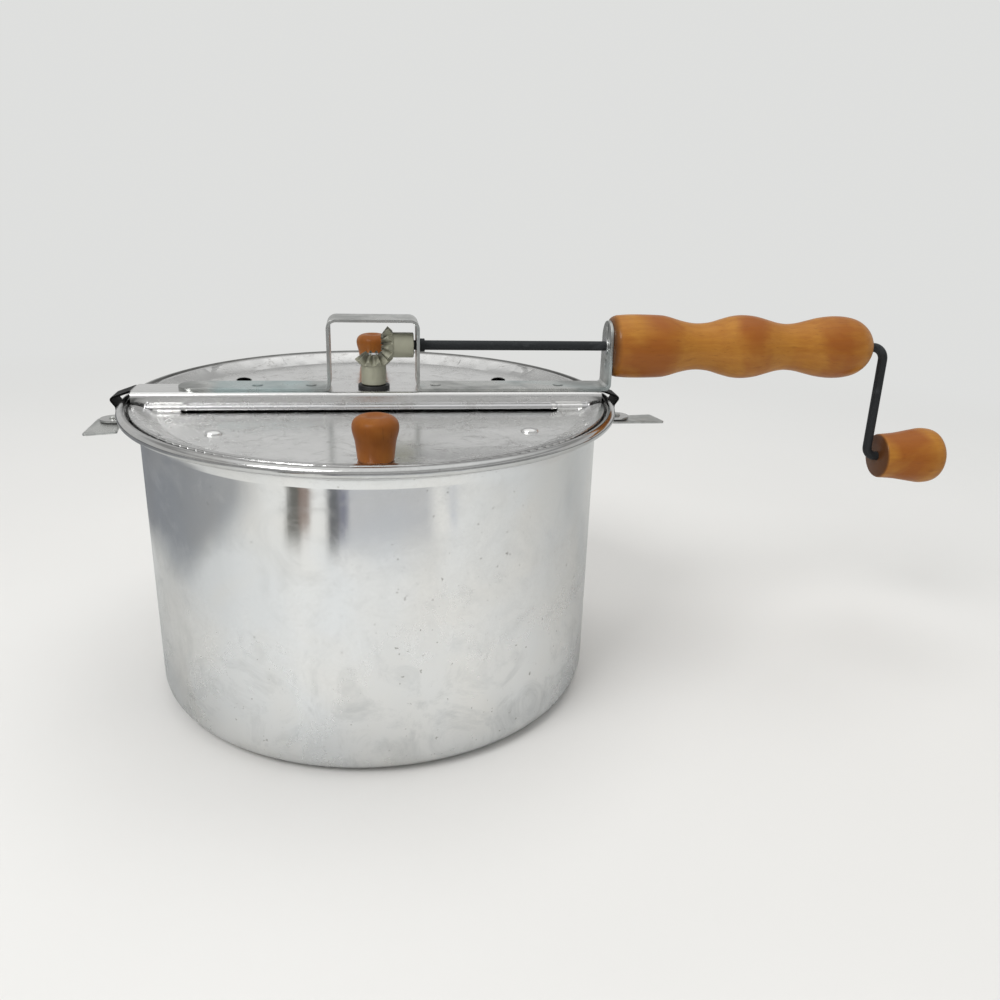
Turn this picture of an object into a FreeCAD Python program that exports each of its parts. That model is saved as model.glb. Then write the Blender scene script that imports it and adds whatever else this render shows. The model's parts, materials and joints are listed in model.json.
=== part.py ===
"""Stovetop popcorn popper: spun pan, hinged lid, and a hand crank that turns a wire stirrer.

Millimetres, +Z up. The origin is the centre of the pan's base. The handle points along +X.
"""
import FreeCAD
import Part
import math
import os
from FreeCAD import Vector

X = Vector(1, 0, 0)
Y = Vector(0, 1, 0)
Z = Vector(0, 0, 1)

# Pan
PAN_WALL_R = 114.0
PAN_SHEET = 1.2
PAN_CORNER_R = 10.0
PAN_FLARE_Z = 140.4
PAN_FLARE_R = 4.0
BEAD_R = 123.5
BEAD_TUBE_R = 2.5
BEAD_Z = 147.0

# Lid bar, a folded channel
BAR_TOP_Z = 153.3
BAR_WIDTH = 22.0
BAR_SHEET = 1.0
BAR_HALF = 117.3
FLANGE_BOTTOM_Z = 144.0
FLANGE_NOTCH_X = 111.5
FLANGE_NOTCH_Z = 145.95
TONGUE_NOSE_X = 128.2
TONGUE_NOSE_Z = 149.2
TONGUE_LEG_X = 125.4
TONGUE_LEG_Z = 145.2
TONGUE_WIDTH = 13.0
TONGUE_BENDS = (2.0, 1.2, 1.5, 1.2)
CLIP_EAR_Z = 137.0
CLIP_PIVOT_X = 129.0

# Flap hinges
HINGE_Y = 13.2
HINGE_Z = 146.2
HINGE_ROD_R = 1.1
HINGE_ROD_HALF = 109.5
KNUCKLE_R = 1.85
KNUCKLE_X = (93.5, 107.5)
EAR_X = (90.4, 92.4)

# Flaps, half-moons of thin sheet
FLAP_SHEET = 0.8
FLAP_RIM_R = 117.9
FLAP_RIM_Z = 148.0
FLAP_RISER_R = (105.5, 114.0)
FLAP_PANEL_Z = 145.0
FLAP_CUT_Y = 14.2
CREASE_Y = 38.0
HEM_Y = 15.7
HEM_R = 1.0
HEM_TOP_Z = 143.3
SLOPE_HALF = 91.5
VENT_X = 72.0
VENT_Y = 55.0
VENT_RISE = 3.0
VENT_R = 8.5

# Lid knobs
KNOB_Y = 97.0
KNOB_HEIGHT = 18.4
KNOB_BASE_R = 7.7
KNOB_TOP_R = 9.7

# Handle bracket, one bent strap
STRAP_WIDTH = 19.0
STRAP_SHEET = 1.8
STRAP_BEND_R = 4.0
FOOT_BEND_R = 2.4
ARCH_HALF = 22.2
ARCH_TOP_Z = 189.6
FOOT_END_X = -96.5
UPRIGHT_X = 121.5
UPRIGHT_TOP_Z = 188.7
BRACKET_RIVET_X = (-58.0, -31.5, 31.5, 96.0)

# Crank
ROD_Z = 175.2
ROD_R = 2.45
RUNNING_GAP = 0.06
CRANK_ARM_X = 277.3
CRANK_DROP = 62.0
CRANK_BEND_R = 7.0
PIN_BEND_R = 5.5
PIN_END_X = 313.0
GRIP_END_X = 267.8
GRIP_EDGE = 3.4
CRANK_KNOB_X = (284.0, 322.8)

# Mitre gears, one to one
GEAR_TEETH = 10
GEAR_PITCH_R = 8.3
GEAR_FACE = 5.6
GEAR_BACKLASH = 0.16
GEAR_HUB_R = 6.3
GEAR_SMALL_END = 1 - GEAR_FACE / (GEAR_PITCH_R * math.sqrt(2))

# Stirrer
SHAFT_R = 2.4
SHAFT_BOTTOM_Z = 3.0
STIR_WIRE_R = 1.6
STIR_WIRE_Z = 5.2
STIR_REACH = 90.0
STIR_SWEEP = 27.0
STIR_DIP = 1.2
STIR_TIP_RISE = 14.0
STIR_ELBOW_X = 34.0
STIR_KNEE = (66.0, 27.0)
STIR_TOE = (76.0, 39.5)
STIR_BEND_R = 22.0
STIR_TIP_BEND_R = 7.0
HUB_R = 6.0
HUB_HEIGHT = 9.5
HUB_FLOOR = 0.4

# Small fastenings and fits
RIVET_SHANK_R = 1.7
RIVET_HEAD_R = 3.4
RIVET_HEAD_SUNK = 2.0
RIVET_SET_R = 2.6
RIVET_SET_HEIGHT = 0.9
KNOB_SCREW_R = 2.0
KNOB_SCREW_CORE_R = 1.75
KNOB_SCREW_DEPTH = 11.0
KNOB_SCREW_HEAD_R = 3.6
WASHER_R = 5.5
WASHER_SHEET = 0.8
EYELET_R = 3.3
EYELET_FLANGE_R = 4.6
EYELET_FLANGE = 0.7
GRIP_SCREW_R = 1.3
GRIP_SCREW_HEAD_R = 2.3
GRIP_SCREW_HEAD = 1.1
GRIP_SCREW_OFFSET = 9.0
GRIP_SCREW_LENGTH = 18.0
GRIP_BORE_R = 2.9
GEAR_PIN_R = 1.0
GEAR_INNER_X = 4.6
DRIVE_HUB_END = 20.2
DRIVE_PIN_X = 15.5
DRIVEN_HUB_Z = 155.5
DRIVEN_PIN_Z = 160.0
GEAR_SHAFT_GAP = 4.6
ROD_COLLAR = 2.4
ROD_COLLAR_WALL = 0.9
ROD_COLLAR_GAP = 0.35
BUSH_SLEEVE_R = 4.2
BUSH_SLEEVE = 6.0
BUSH_FLANGE_R = 8.0
BUSH_FLANGE = 1.9
BUSH_EDGE_R = 0.5
SNAP_RING_Z = 145.0
SNAP_RING_SHEET = 0.8
SNAP_RING_WIDTH = 2.2
GROOVE_DEPTH = 0.5
GROOVE_PLAY = 0.05
RETAINER_X = 308.5
RETAINER_SHEET = 0.8
RETAINER_WIDTH = 1.2

# Lid clips
CLIP_Z = 135.5
CLIP_SHEET = 1.1
CLIP_RIVET_R = 1.6
CLIP_RIVET_HEAD = 1.0
CLIP_NOSE_R = 4.3
CLIP_LENGTH = 24.5
CLIP_SHORT_LENGTH = 20.5
CLIP_OUTER_EDGE = 8.6
CLIP_INNER_EDGE = (5.2, 6.5)
CLIP_CORNER_R = 1.4

# Larger than any piece, for trimming
FAR = 200.0


def tube_along(start, axis, length, outer, inner):
    """A round sleeve."""
    return Part.makeCylinder(outer, length, start, axis).cut(Part.makeCylinder(inner, length, start, axis))


def revolve(face, centre=Vector(0, 0, 0), axis=Z):
    return face.revolve(centre, axis, 360)


def arc(start, middle, end):
    return Part.Arc(start, middle, end).toShape()


def line(start, end):
    return Part.LineSegment(start, end).toShape()


def face_of(edges):
    return Part.Face(Part.Wire(edges))


def smooth(points):
    """One smooth curve through the points."""
    curve = Part.BSplineCurve()
    curve.interpolate(points)
    return curve.toShape()


def box_between(low, high):
    size = Vector(*high).sub(Vector(*low))
    return Part.makeBox(size.x, size.y, size.z, Vector(*low))


def filleted_path(points, radii):
    """Straight runs joined by tangent arcs; radii belong to the inner points."""
    edges = []
    start = points[0]
    for index, radius in enumerate(radii, 1):
        corner = points[index]
        before = (points[index - 1] - corner).normalize()
        after = (points[index + 1] - corner).normalize()
        half_turn = before.getAngle(after) / 2
        reach = radius / math.tan(half_turn)
        first = corner + before * reach
        last = corner + after * reach
        inward = (before + after).normalize()
        middle = corner + inward * (radius / math.sin(half_turn) - radius)
        edges.append(line(start, first))
        edges.append(arc(first, middle, last))
        start = last
    edges.append(line(start, points[-1]))
    return Part.Wire(edges)


def round_rod(path, radius):
    """A round rod bent along a path."""
    first = path.OrderedEdges[0]
    start = first.valueAt(first.FirstParameter)
    ahead = first.tangentAt(first.FirstParameter)
    section = Part.Wire(Part.makeCircle(radius, start, ahead))
    return path.makePipeShell([section], True, False)


def strap_between(points, radii, sheet, width):
    """A flat strap, bent in the XZ plane along its middle line, centred on Y."""
    path = filleted_path(points, radii)
    start = points[0]
    ahead = (points[1] - points[0]).normalize()
    side = Vector(-ahead.z, 0, ahead.x) * (sheet / 2)
    half = Vector(0, width / 2, 0)
    corners = [start - side - half, start + side - half, start + side + half, start - side + half]
    section = Part.makePolygon(corners + [corners[0]])
    return path.makePipeShell([section], True, False)


def turned_half(shape):
    """The same piece on the other side of the lid, turned half round."""
    copy = shape.copy()
    copy.rotate(Vector(0, 0, 0), Z, 180)
    return copy


def make_pan():
    wall = PAN_WALL_R
    inner = wall - PAN_SHEET
    corner = PAN_CORNER_R
    flare_x = wall + PAN_FLARE_R
    flare_out = PAN_FLARE_Z + PAN_FLARE_R
    flare_in = flare_out + PAN_SHEET
    bead_x = BEAD_R - BEAD_TUBE_R
    diagonal = math.sqrt(0.5)

    def bend(centre_x, centre_z, radius, sign_x, sign_z):
        return Vector(centre_x + sign_x * radius * diagonal, 0, centre_z + sign_z * radius * diagonal)

    points = [
        Vector(0, 0, 0),
        Vector(wall - corner, 0, 0),
        Vector(wall, 0, corner),
        Vector(wall, 0, PAN_FLARE_Z),
        Vector(flare_x, 0, flare_out),
        Vector(bead_x, 0, flare_out),
        Vector(bead_x, 0, flare_in),
        Vector(flare_x, 0, flare_in),
        Vector(inner, 0, PAN_FLARE_Z),
        Vector(inner, 0, corner),
        Vector(wall - corner, 0, PAN_SHEET),
        Vector(0, 0, PAN_SHEET),
    ]
    edges = [
        line(points[0], points[1]),
        arc(points[1], bend(wall - corner, corner, corner, 1, -1), points[2]),
        line(points[2], points[3]),
        arc(points[3], bend(flare_x, PAN_FLARE_Z, PAN_FLARE_R, -1, 1), points[4]),
        line(points[4], points[5]),
        line(points[5], points[6]),
        line(points[6], points[7]),
        arc(points[7], bend(flare_x, PAN_FLARE_Z, PAN_FLARE_R + PAN_SHEET, -1, 1), points[8]),
        line(points[8], points[9]),
        arc(points[9], bend(wall - corner, corner, corner - PAN_SHEET, 1, -1), points[10]),
        line(points[10], points[11]),
        line(points[11], points[0]),
    ]
    shell = revolve(face_of(edges))
    bead = Part.makeTorus(bead_x, BEAD_TUBE_R, Vector(0, 0, BEAD_Z))
    return shell.fuse(bead).removeSplitter()


def make_lid_bar():
    half_width = BAR_WIDTH / 2
    channel = box_between((-BAR_HALF, -half_width, FLANGE_BOTTOM_Z), (BAR_HALF, half_width, BAR_TOP_Z))
    long_edges = [edge for edge in channel.Edges if is_top_long_edge(edge)]
    channel = channel.makeFillet(BAR_SHEET * 1.4, long_edges)
    inside = box_between((-BAR_HALF, -half_width + BAR_SHEET, FLANGE_BOTTOM_Z),
                         (BAR_HALF, half_width - BAR_SHEET, BAR_TOP_Z - BAR_SHEET))
    bar = channel.cut(inside)
    for side in (-1, 1):
        ends = sorted((side * FLANGE_NOTCH_X, side * BAR_HALF))
        bar = bar.cut(box_between((ends[0], -half_width, FLANGE_BOTTOM_Z), (ends[1], half_width, FLANGE_NOTCH_Z)))
        bar = bar.fuse(bar_tongue(side))
        for flap_side in (-1, 1):
            bar = bar.fuse(hinge_ear(side, flap_side))
    bar = bar.cut(Part.makeCylinder(BUSH_SLEEVE_R, 4, Vector(0, 0, BAR_TOP_Z - 3), Z))
    for place in BRACKET_RIVET_X:
        bar = bar.cut(Part.makeCylinder(RIVET_SHANK_R, 4, Vector(place, 0, BAR_TOP_Z - 3), Z))
    return bar.removeSplitter()


def is_top_long_edge(edge):
    box = edge.BoundBox
    return box.XLength > BAR_HALF and box.ZMin > BAR_TOP_Z - 0.1


def bar_tongue(side):
    """The end of the bar's top plate: a nose over the bead, a leg down its outside, an ear for a clip."""
    middle_z = BAR_TOP_Z - BAR_SHEET / 2
    ear_z = CLIP_EAR_Z + BAR_SHEET / 2
    points = [
        Vector(side * (BAR_HALF - 3), 0, middle_z),
        Vector(side * (BAR_HALF + 1), 0, middle_z),
        Vector(side * TONGUE_NOSE_X, 0, TONGUE_NOSE_Z),
        Vector(side * TONGUE_LEG_X, 0, TONGUE_LEG_Z),
        Vector(side * TONGUE_LEG_X, 0, ear_z),
        Vector(side * CLIP_PIVOT_X, 0, ear_z),
    ]
    tongue = strap_between(points, TONGUE_BENDS, BAR_SHEET, TONGUE_WIDTH)
    ear_r = TONGUE_WIDTH / 2
    ear = Part.makeCylinder(ear_r, BAR_SHEET, Vector(side * CLIP_PIVOT_X, 0, CLIP_EAR_Z), Z)
    inner = box_between((-CLIP_PIVOT_X, -ear_r, CLIP_EAR_Z - 1), (CLIP_PIVOT_X, ear_r, CLIP_EAR_Z + 2))
    ear = ear.cut(inner)
    hole = Part.makeCylinder(CLIP_RIVET_R, 4, Vector(side * CLIP_PIVOT_X, 0, CLIP_EAR_Z - 1), Z)
    return tongue.fuse(ear).cut(hole)


def hinge_ear(side, flap_side):
    """A lug bent out of the flange, which carries the hinge rod."""
    low_x, high_x = sorted((side * EAR_X[0], side * EAR_X[1]))
    near = flap_side * (BAR_WIDTH / 2 - BAR_SHEET)
    far = flap_side * HINGE_Y
    low_y, high_y = sorted((near, far))
    plate = box_between((low_x, low_y, HINGE_Z - KNUCKLE_R), (high_x, high_y, HINGE_Z + KNUCKLE_R))
    nose = Part.makeCylinder(KNUCKLE_R, high_x - low_x, Vector(low_x, far, HINGE_Z), X)
    hole = Part.makeCylinder(HINGE_ROD_R, high_x - low_x, Vector(low_x, far, HINGE_Z), X)
    return plate.fuse(nose).cut(hole)


def make_hinge_rod(flap_side):
    """A long rod with slightly headed ends."""
    start = Vector(-HINGE_ROD_HALF, flap_side * HINGE_Y, HINGE_Z)
    rod = Part.makeCylinder(HINGE_ROD_R, 2 * HINGE_ROD_HALF, start, X)
    heads = []
    for side in (-1, 1):
        low_x = side * HINGE_ROD_HALF - (0 if side > 0 else 0.8)
        heads.append(Part.makeCylinder(HINGE_ROD_R + 0.45, 0.8, Vector(low_x, start.y, HINGE_Z), X))
    return rod.fuse(heads)


def flap_block(lift):
    """The space under the flap's upper face, moved down by lift."""
    foot_r, rim_r = FLAP_RISER_R
    floor = FLAP_PANEL_Z - 20
    outline = [
        Vector(0, 0, floor),
        Vector(FLAP_RIM_R - 0.4, 0, floor),
        Vector(FLAP_RIM_R - 0.4, 0, FLAP_RIM_Z - lift),
        Vector(rim_r + 1.2, 0, FLAP_RIM_Z - lift),
        Vector(foot_r, 0, FLAP_PANEL_Z - lift),
        Vector(0, 0, FLAP_PANEL_Z - lift),
    ]
    profile = Part.Face(Part.makePolygon(outline + [outline[0]]))
    block = revolve(profile)
    return block.cut(slope_wedge(lift))


def slope_wedge(lift):
    """The shallow dip of the panel that runs down from the crease to the hem at the bar."""
    drop = FLAP_PANEL_Z - HEM_TOP_Z
    run = CREASE_Y - HEM_Y
    start_y = -HEM_Y + run
    start_z = HEM_TOP_Z - drop - lift
    section = [
        Vector(-SLOPE_HALF, start_y, start_z),
        Vector(SLOPE_HALF, start_y, start_z),
        Vector(SLOPE_HALF + 12, start_y, start_z + 12),
        Vector(-SLOPE_HALF - 12, start_y, start_z + 12),
    ]
    face = Part.Face(Part.makePolygon(section + [section[0]]))
    return face.extrude(Vector(0, -4 * run, 4 * drop))


def vent_dome(lift):
    """The half-dome of a steam louvre, open towards the bar."""
    dome = Part.makeSphere(VENT_R)
    flatten = FreeCAD.Matrix()
    flatten.scale(1.0, 0.75, VENT_RISE / VENT_R)
    dome = dome.transformGeometry(flatten)
    dome.translate(Vector(0, 0, FLAP_PANEL_Z - lift))
    return dome


def make_flap():
    """The front flap; the rear one is the same piece turned half round."""
    sheet = flap_block(0).cut(flap_block(FLAP_SHEET))
    rim = Part.makeTorus(FLAP_RIM_R - 0.9, 0.9, Vector(0, 0, FLAP_RIM_Z - 0.9))
    sheet = sheet.fuse(rim)
    reach = FLAP_RIM_R + 5
    front = box_between((-reach, -reach, 100), (reach, -FLAP_CUT_Y, 160))
    slope_cut = box_between((-SLOPE_HALF - 1.2, -HEM_Y, 100), (SLOPE_HALF + 1.2, 0, 160))
    flap = sheet.common(front).cut(slope_cut)
    hem_z = HEM_TOP_Z - HEM_R
    hem = Part.makeCylinder(HEM_R, 2 * SLOPE_HALF, Vector(-SLOPE_HALF, -HEM_Y, hem_z), X)
    flap = flap.fuse(hem)
    for side in (-1, 1):
        flap = with_vent(flap, side)
    for side in (-1, 1):
        flap = with_knuckle(flap, side)
    flap = flap.cut(Part.makeCylinder(KNOB_SCREW_R, 10, Vector(0, -KNOB_Y, FLAP_PANEL_Z - 5), Z))
    return flap.removeSplitter()


def with_vent(flap, side):
    centre = Vector(side * VENT_X, -VENT_Y, 0)
    outer = vent_dome(0)
    inner = vent_dome(FLAP_SHEET * 0.8)
    outer.translate(centre)
    inner.translate(centre)
    above = box_between((-200, -200, FLAP_PANEL_Z - FLAP_SHEET), (200, -VENT_Y + 0.5, 160))
    opening = inner.common(box_between((-200, -200, FLAP_PANEL_Z - 10), (200, 200, 160)))
    mouth = box_between((centre.x - VENT_R * 0.8, -VENT_Y, FLAP_PANEL_Z - 2),
                        (centre.x + VENT_R * 0.8, -VENT_Y + 3, FLAP_PANEL_Z + 2))
    cover = outer.common(above).cut(opening)
    return flap.cut(opening).cut(mouth).fuse(cover)


def with_knuckle(flap, side):
    low_x, high_x = sorted((side * KNUCKLE_X[0], side * KNUCKLE_X[1]))
    start = Vector(low_x, -HINGE_Y, HINGE_Z)
    knuckle = Part.makeCylinder(KNUCKLE_R, high_x - low_x, start, X)
    leaf = box_between((low_x, -FLAP_CUT_Y - 1.5, FLAP_PANEL_Z - FLAP_SHEET),
                       (high_x, -HINGE_Y, FLAP_PANEL_Z))
    ear_gap = KNUCKLE_X[0] - EAR_X[0] + 1.4
    space = Part.makeCylinder(KNUCKLE_R + 0.4, ear_gap, Vector(side * KNUCKLE_X[0], start.y, HINGE_Z), X * -side)
    bore = Part.makeCylinder(HINGE_ROD_R + RUNNING_GAP, 2 * HINGE_ROD_HALF + 4,
                             Vector(-HINGE_ROD_HALF - 2, -HINGE_Y, HINGE_Z), X)
    head = Part.makeCylinder(HINGE_ROD_R + 0.85, 4, Vector(side * (HINGE_ROD_HALF + 0.9), -HINGE_Y, HINGE_Z),
                             X * -side)
    return flap.cut(space).fuse(knuckle).fuse(leaf).cut(bore).cut(head)


def make_lid_knob():
    base_z = FLAP_PANEL_Z
    side = smooth([
        Vector(KNOB_BASE_R, 0, base_z + 0.8),
        Vector(KNOB_BASE_R + 0.6, 0, base_z + 4.5),
        Vector(KNOB_BASE_R + 1.1, 0, base_z + 9.5),
        Vector(KNOB_TOP_R, 0, base_z + 14.8),
        Vector(KNOB_TOP_R - 0.9, 0, base_z + 17.2),
        Vector(KNOB_TOP_R - 2.8, 0, base_z + 18.2),
        Vector(KNOB_TOP_R - 4.8, 0, base_z + KNOB_HEIGHT),
    ])
    dimple_z = base_z + KNOB_HEIGHT - 0.8
    dimple = arc(Vector(KNOB_TOP_R - 4.8, 0, base_z + KNOB_HEIGHT),
                 Vector(3.0, 0, base_z + KNOB_HEIGHT - 0.55),
                 Vector(1.2, 0, dimple_z))
    foot = Vector(KNOB_BASE_R - 0.7, 0, base_z)
    middle = Vector(0, 0, base_z)
    profile = face_of([
        line(middle, foot),
        line(foot, Vector(KNOB_BASE_R, 0, base_z + 0.8)),
        side,
        dimple,
        line(Vector(1.2, 0, dimple_z), Vector(0, 0, dimple_z)),
        line(Vector(0, 0, dimple_z), middle),
    ])
    knob = revolve(profile)
    knob = knob.cut(Part.makeCylinder(KNOB_SCREW_CORE_R, KNOB_SCREW_DEPTH, Vector(0, 0, base_z), Z))
    knob.translate(Vector(0, -KNOB_Y, 0))
    return knob


def make_knob_screw():
    under = FLAP_PANEL_Z - FLAP_SHEET - WASHER_SHEET
    length = FLAP_PANEL_Z + KNOB_SCREW_DEPTH - 1 - under
    shank = Part.makeCylinder(KNOB_SCREW_CORE_R, length, Vector(0, 0, under), Z)
    head = Part.makeSphere(KNOB_SCREW_HEAD_R, Vector(0, 0, 0), Z, 0, 90)
    squash = FreeCAD.Matrix()
    squash.scale(1.0, 1.0, -0.55)
    head = head.transformGeometry(squash)
    head.translate(Vector(0, 0, under))
    slot = box_between((-4, -0.4, under - 3), (4, 0.4, under - 1.2))
    screw = shank.fuse(head).cut(slot)
    screw.translate(Vector(0, -KNOB_Y, 0))
    return screw


def make_knob_washer():
    start = Vector(0, -KNOB_Y, FLAP_PANEL_Z - FLAP_SHEET - WASHER_SHEET)
    return tube_along(start, Z, WASHER_SHEET, WASHER_R, KNOB_SCREW_R)


def make_bracket():
    foot_z = BAR_TOP_Z + STRAP_SHEET / 2
    arch_z = ARCH_TOP_Z - STRAP_SHEET / 2
    round_r = STRAP_WIDTH / 2
    left_end = Vector(FOOT_END_X + round_r, 0, foot_z)
    right_end = Vector(UPRIGHT_X, 0, UPRIGHT_TOP_Z - round_r)
    points = [
        left_end,
        Vector(-ARCH_HALF, 0, foot_z),
        Vector(-ARCH_HALF, 0, arch_z),
        Vector(ARCH_HALF, 0, arch_z),
        Vector(ARCH_HALF, 0, foot_z),
        Vector(UPRIGHT_X, 0, foot_z),
        right_end,
    ]
    bends = [FOOT_BEND_R, STRAP_BEND_R, STRAP_BEND_R, FOOT_BEND_R, FOOT_BEND_R]
    strap = strap_between(points, bends, STRAP_SHEET, STRAP_WIDTH)
    left_cap = Part.makeCylinder(round_r, STRAP_SHEET, Vector(left_end.x, 0, BAR_TOP_Z), Z)
    left_cap = left_cap.common(box_between((-FAR, -FAR, 0), (left_end.x, FAR, FAR)))
    top_cap = Part.makeCylinder(round_r, STRAP_SHEET, Vector(UPRIGHT_X - STRAP_SHEET / 2, 0, right_end.z), X)
    top_cap = top_cap.common(box_between((0, -FAR, right_end.z), (FAR, FAR, FAR)))
    strap = strap.fuse([left_cap, top_cap])
    rod_hole = Part.makeCylinder(ROD_R + RUNNING_GAP, 10, Vector(ARCH_HALF - 5, 0, ROD_Z), X)
    eyelet_hole = Part.makeCylinder(EYELET_R, 10, Vector(UPRIGHT_X - 5, 0, ROD_Z), X)
    strap = strap.cut([rod_hole, eyelet_hole])
    for place in BRACKET_RIVET_X:
        strap = strap.cut(Part.makeCylinder(RIVET_SHANK_R, 6, Vector(place, 0, BAR_TOP_Z - 1), Z))
    for place in grip_screw_places():
        strap = strap.cut(Part.makeCylinder(GRIP_SCREW_R, 10, place - X * 5, X))
    return strap.removeSplitter()


def grip_screw_places():
    return [Vector(UPRIGHT_X, 0, ROD_Z + offset) for offset in (-GRIP_SCREW_OFFSET, GRIP_SCREW_OFFSET)]


def make_rivet(place):
    """A bracket rivet: low round head above the strap, set head under the bar's top plate."""
    top = BAR_TOP_Z + STRAP_SHEET
    under = BAR_TOP_Z - BAR_SHEET
    shank = Part.makeCylinder(RIVET_SHANK_R, top - under, Vector(place, 0, under), Z)
    head_centre = Vector(place, 0, top - RIVET_HEAD_SUNK)
    head = Part.makeSphere(RIVET_HEAD_R, head_centre, Z, 0, 90)
    head = head.cut(Part.makeCylinder(RIVET_HEAD_R + 1, RIVET_HEAD_SUNK, head_centre, Z))
    set_head = Part.makeCone(RIVET_SET_R, RIVET_SET_R - 0.5, RIVET_SET_HEIGHT, Vector(place, 0, under), Z * -1)
    return shank.fuse([head, set_head]).removeSplitter()


def make_grip():
    start_x = UPRIGHT_X + STRAP_SHEET / 2
    centre = Vector(0, 0, ROD_Z)
    outline = smooth([
        centre + Vector(start_x + GRIP_EDGE, 0, 15.9),
        centre + Vector(134.0, 0, 16.4),
        centre + Vector(148.0, 0, 16.0),
        centre + Vector(159.0, 0, 13.4),
        centre + Vector(170.5, 0, 12.2),
        centre + Vector(182.0, 0, 14.3),
        centre + Vector(194.5, 0, 16.5),
        centre + Vector(207.5, 0, 14.2),
        centre + Vector(219.0, 0, 12.3),
        centre + Vector(230.5, 0, 14.6),
        centre + Vector(243.0, 0, 16.4),
        centre + Vector(253.5, 0, 16.0),
        centre + Vector(261.0, 0, 13.4),
        centre + Vector(265.8, 0, 9.0),
        centre + Vector(GRIP_END_X - 0.4, 0, 4.8),
    ])
    ring = [
        centre + Vector(GRIP_END_X - 0.4, 0, 4.8),
        centre + Vector(GRIP_END_X, 0, GRIP_BORE_R),
        centre + Vector(start_x, 0, GRIP_BORE_R),
        centre + Vector(start_x, 0, 12.9),
        centre + Vector(start_x + 1.1, 0, 14.9),
        centre + Vector(start_x + GRIP_EDGE, 0, 15.9),
    ]
    profile = face_of([
        outline,
        line(ring[0], ring[1]),
        line(ring[1], ring[2]),
        line(ring[2], ring[3]),
        arc(ring[3], ring[4], ring[5]),
    ])
    grip = revolve(profile, centre, X)
    seat = Part.makeCylinder(EYELET_FLANGE_R + 0.2, 1.2, Vector(start_x, 0, ROD_Z), X)
    grip = grip.cut(seat)
    for place in grip_screw_places():
        grip = grip.cut(Part.makeCylinder(GRIP_SCREW_R, GRIP_SCREW_LENGTH, place, X))
    return grip


def make_eyelet():
    """The flanged sleeve that lines the rod's hole in the upright."""
    left = UPRIGHT_X - STRAP_SHEET / 2
    right = UPRIGHT_X + STRAP_SHEET / 2
    sleeve = tube_along(Vector(left, 0, ROD_Z), X, STRAP_SHEET, EYELET_R, ROD_R + RUNNING_GAP)
    bore_r = ROD_R + RUNNING_GAP
    flange = tube_along(Vector(left - EYELET_FLANGE, 0, ROD_Z), X, EYELET_FLANGE, EYELET_FLANGE_R, bore_r)
    curl = tube_along(Vector(right, 0, ROD_Z), X, EYELET_FLANGE, EYELET_FLANGE_R, bore_r)
    return sleeve.fuse([flange, curl]).removeSplitter()


def make_grip_screw(place):
    left = UPRIGHT_X - STRAP_SHEET / 2
    start = Vector(left, place.y, place.z)
    shank = Part.makeCylinder(GRIP_SCREW_R, GRIP_SCREW_LENGTH - 0.5, start, X)
    head = Part.makeCone(GRIP_SCREW_HEAD_R, GRIP_SCREW_HEAD_R - 0.8, GRIP_SCREW_HEAD, start, X * -1)
    slot = box_between((left - FAR, -3, place.z - 0.3), (left - GRIP_SCREW_HEAD / 2, 3, place.z + 0.3))
    return shank.fuse(head).cut(slot)


def make_crank_rod():
    low_z = ROD_Z - CRANK_DROP
    path = filleted_path([
        Vector(GEAR_INNER_X, 0, ROD_Z),
        Vector(CRANK_ARM_X, 0, ROD_Z),
        Vector(CRANK_ARM_X, 0, low_z),
        Vector(PIN_END_X, 0, low_z),
    ], [CRANK_BEND_R, PIN_BEND_R])
    rod = round_rod(path, ROD_R)
    groove_width = RETAINER_SHEET + 2 * GROOVE_PLAY
    groove = tube_along(Vector(RETAINER_X, 0, low_z), X, groove_width, ROD_R + 1, ROD_R - GROOVE_DEPTH)
    pin_hole = Part.makeCylinder(GEAR_PIN_R, 20, Vector(DRIVE_PIN_X, 0, ROD_Z - 10), Z)
    return rod.cut([groove, pin_hole])


def make_retainer():
    """The ring snapped into the groove near the end of the knob's pin."""
    start = Vector(RETAINER_X + GROOVE_PLAY, 0, ROD_Z - CRANK_DROP)
    ring = tube_along(start, X, RETAINER_SHEET, ROD_R + RETAINER_WIDTH, ROD_R - GROOVE_DEPTH)
    gap = box_between((start.x - 1, -0.7, start.z - 6), (start.x + 2, 0.7, start.z))
    return ring.cut(gap)


def make_crank_knob():
    low_z = ROD_Z - CRANK_DROP
    centre = Vector(0, 0, low_z)
    left, right = CRANK_KNOB_X
    outline = smooth([
        centre + Vector(left + 0.9, 0, 12.4),
        centre + Vector(left + 10.0, 0, 13.1),
        centre + Vector(left + 19.5, 0, 14.7),
        centre + Vector(left + 26.5, 0, 15.6),
        centre + Vector(left + 33.0, 0, 14.2),
        centre + Vector(right - 1.8, 0, 9.6),
        centre + Vector(right - 0.2, 0, 4.2),
    ])
    crown = line(centre + Vector(right - 0.2, 0, 4.2), centre + Vector(right, 0, 1.5))
    profile = face_of([
        outline,
        crown,
        line(centre + Vector(right, 0, 1.5), centre + Vector(right, 0, 0)),
        line(centre + Vector(right, 0, 0), centre + Vector(left, 0, 0)),
        line(centre + Vector(left, 0, 0), centre + Vector(left, 0, 11.5)),
        line(centre + Vector(left, 0, 11.5), centre + Vector(left + 0.9, 0, 12.4)),
    ])
    knob = revolve(profile, centre, X)
    bore = Part.makeCylinder(ROD_R + RUNNING_GAP, PIN_END_X + 1 - left, Vector(left, 0, low_z), X)
    chamber = Part.makeCylinder(ROD_R + RETAINER_WIDTH + 0.5, 3.0, Vector(RETAINER_X - 0.9, 0, low_z), X)
    return knob.cut([bore, chamber])


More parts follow.
